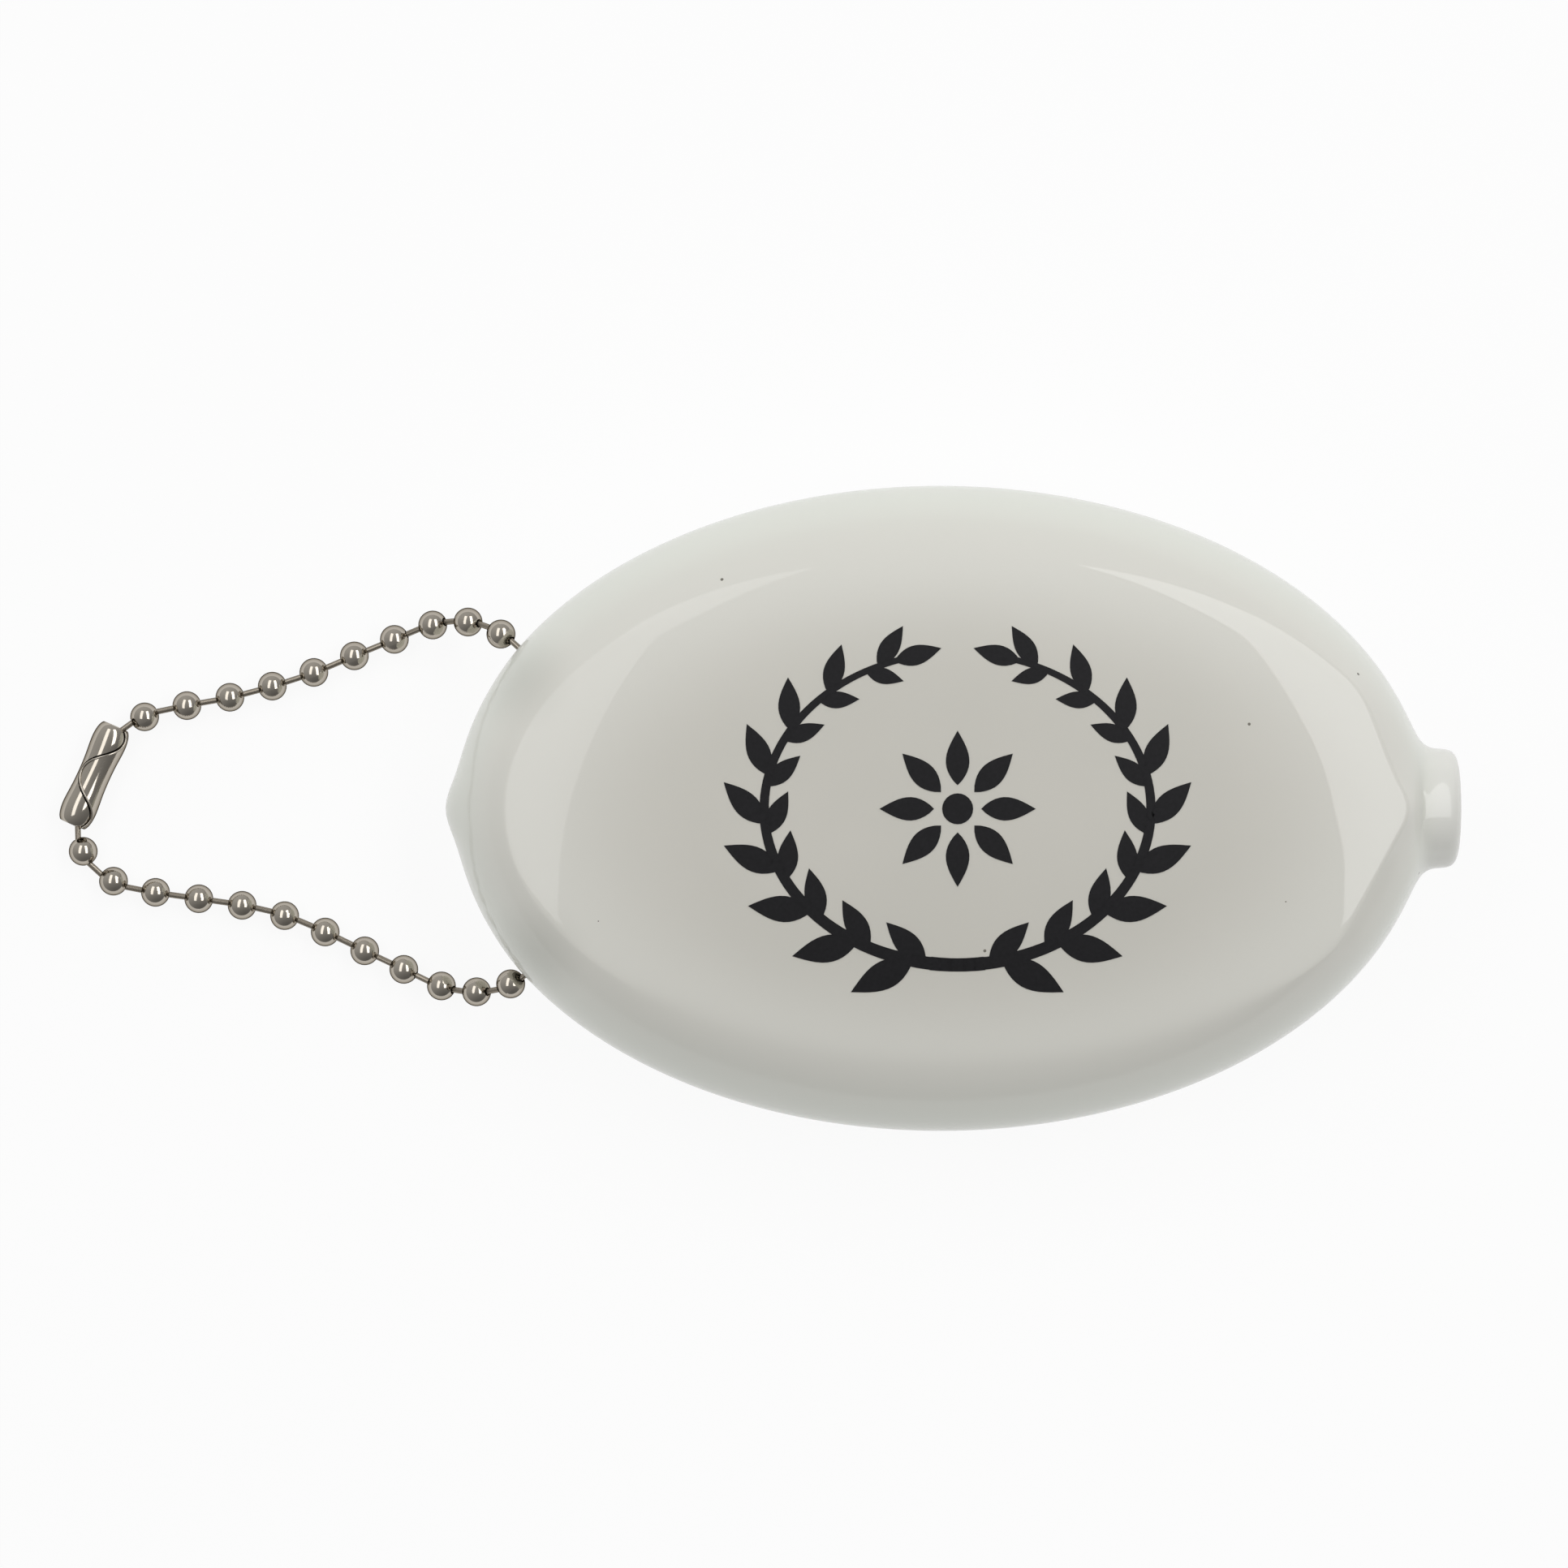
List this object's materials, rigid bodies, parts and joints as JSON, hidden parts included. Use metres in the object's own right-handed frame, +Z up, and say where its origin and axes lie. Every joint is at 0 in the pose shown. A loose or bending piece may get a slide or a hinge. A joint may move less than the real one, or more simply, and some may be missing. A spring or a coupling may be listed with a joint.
{
  "type": "squeeze coin purse",
  "caption": "Oval squeeze coin purse of milky translucent vinyl with a slit back, a short neck and a ball-chain key loop closed by a metal sleeve.",
  "frame": {"origin": "middle of the oval, on the surface that its slit side lies on", "axes": "+X to the moulded neck, away from the chain; +Z up, out of the front panel"},
  "size_m": [0.1159, 0.053, 0.019],
  "materials": {
    "vinyl": "gloss",
    "nickel": "polished"
  },
  "bodies": {
    "purse": {"purse_shell": "vinyl", "inner_beads": "nickel", "inner_pins": "nickel"},
    "upper_lip": {"upper_lip": "vinyl"},
    "lower_lip": {"lower_lip": "vinyl"},
    "links_01": {"upper_bead_01": "nickel", "upper_pin_01": "nickel", "lower_bead_01": "nickel", "lower_pin_01": "nickel"},
    "links_02": {"upper_bead_02": "nickel", "upper_pin_02": "nickel", "lower_bead_02": "nickel", "lower_pin_02": "nickel"},
    "links_03": {"upper_bead_03": "nickel", "upper_pin_03": "nickel", "lower_bead_03": "nickel", "lower_pin_03": "nickel"},
    "links_04": {"upper_bead_04": "nickel", "upper_pin_04": "nickel", "lower_bead_04": "nickel", "lower_pin_04": "nickel"},
    "links_05": {"upper_bead_05": "nickel", "upper_pin_05": "nickel", "lower_bead_05": "nickel", "lower_pin_05": "nickel"},
    "links_06": {"upper_bead_06": "nickel", "upper_pin_06": "nickel", "lower_bead_06": "nickel", "lower_pin_06": "nickel"},
    "links_07": {"upper_bead_07": "nickel", "upper_pin_07": "nickel", "lower_bead_07": "nickel", "lower_pin_07": "nickel"},
    "links_08": {"upper_bead_08": "nickel", "upper_pin_08": "nickel", "lower_bead_08": "nickel", "lower_pin_08": "nickel"},
    "links_09": {"upper_bead_09": "nickel", "upper_pin_09": "nickel", "lower_bead_09": "nickel", "lower_pin_09": "nickel"},
    "links_10": {"upper_bead_10": "nickel", "upper_pin_10": "nickel", "lower_bead_10": "nickel", "lower_pin_10": "nickel"},
    "loop_end": {"upper_end_bead": "nickel", "lower_end_bead": "nickel", "lower_bead_11": "nickel", "lower_pin_11": "nickel", "lower_bead_12": "nickel", "lower_pin_12": "nickel"},
    "connector": {"connector_sleeve": "nickel"}
  },
  "joints": [
    {"name": "upper_lip_open", "type": "hinge", "parent": "purse", "child": "upper_lip", "pos_m": [0, 0.017, 0], "axis": [1, 0, 0], "range_deg": [0, 40], "stiffness_Nm_per_rad": 0.02},
    {"name": "lower_lip_open", "type": "hinge", "parent": "purse", "child": "lower_lip", "pos_m": [0, -0.017, 0], "axis": [-1, 0, 0], "range_deg": [0, 40], "stiffness_Nm_per_rad": 0.02},
    {"name": "chain_fold_01", "type": "hinge", "parent": "purse", "child": "links_01", "pos_m": [-0.03496, -0.00009, 0.00715], "axis": [-0.0299, 0.9996, -0.0001], "range_deg": [-12, 12]},
    {"name": "chain_fold_02", "type": "hinge", "parent": "links_01", "child": "links_02", "pos_m": [-0.03779, 0.00006, 0.00529], "axis": [-0.0235, 0.9997, 0.0002], "range_deg": [-12, 12]},
    {"name": "chain_fold_03", "type": "hinge", "parent": "links_02", "child": "links_03", "pos_m": [-0.04075, 0.00019, 0.00317], "axis": [-0.0232, 0.9997, 0], "range_deg": [-12, 12]},
    {"name": "chain_fold_04", "type": "hinge", "parent": "links_03", "child": "links_04", "pos_m": [-0.04393, 0.00028, 0.00184], "axis": [-0.0272, 0.9996, 0], "range_deg": [-15, 15]},
    {"name": "chain_fold_05", "type": "hinge", "parent": "links_04", "child": "links_05", "pos_m": [-0.04724, 0.00036, 0.0013], "axis": [-0.0332, 0.9995, 0], "range_deg": [-15, 15]},
    {"name": "chain_fold_06", "type": "hinge", "parent": "links_05", "child": "links_06", "pos_m": [-0.05057, 0.00045, 0.0012], "axis": [-0.041, 0.9992, 0], "range_deg": [-15, 15]},
    {"name": "chain_fold_07", "type": "hinge", "parent": "links_06", "child": "links_07", "pos_m": [-0.05396, 0.00058, 0.0012], "axis": [-0.0518, 0.9987, 0], "range_deg": [-15, 15]},
    {"name": "chain_fold_08", "type": "hinge", "parent": "links_07", "child": "links_08", "pos_m": [-0.05747, 0.00058, 0.0012], "axis": [-0.0576, 0.9983, 0], "range_deg": [-15, 15]},
    {"name": "chain_fold_09", "type": "hinge", "parent": "links_08", "child": "links_09", "pos_m": [-0.06106, 0.00051, 0.0012], "axis": [-0.0608, 0.9982, 0], "range_deg": [-15, 15]},
    {"name": "chain_fold_10", "type": "hinge", "parent": "links_09", "child": "links_10", "pos_m": [-0.06465, 0.0004, 0.00129], "axis": [-0.0629, 0.998, 0.0114], "range_deg": [-12, 12]},
    {"name": "chain_fold_11", "type": "hinge", "parent": "links_10", "child": "loop_end", "pos_m": [-0.06803, -0.00016, 0.00141], "axis": [-0.0408, 0.9986, 0.0325], "range_deg": [-12, 12]},
    {"name": "connector_turn", "type": "hinge", "parent": "loop_end", "child": "connector", "pos_m": [-0.07024, 0.00273, 0.00165], "axis": [0.4071, 0.9134, 0], "continuous": true}
  ],
  "couplings": [
    {"joint": "lower_lip_open", "follows": "upper_lip_open", "ratio": 1}
  ]
}
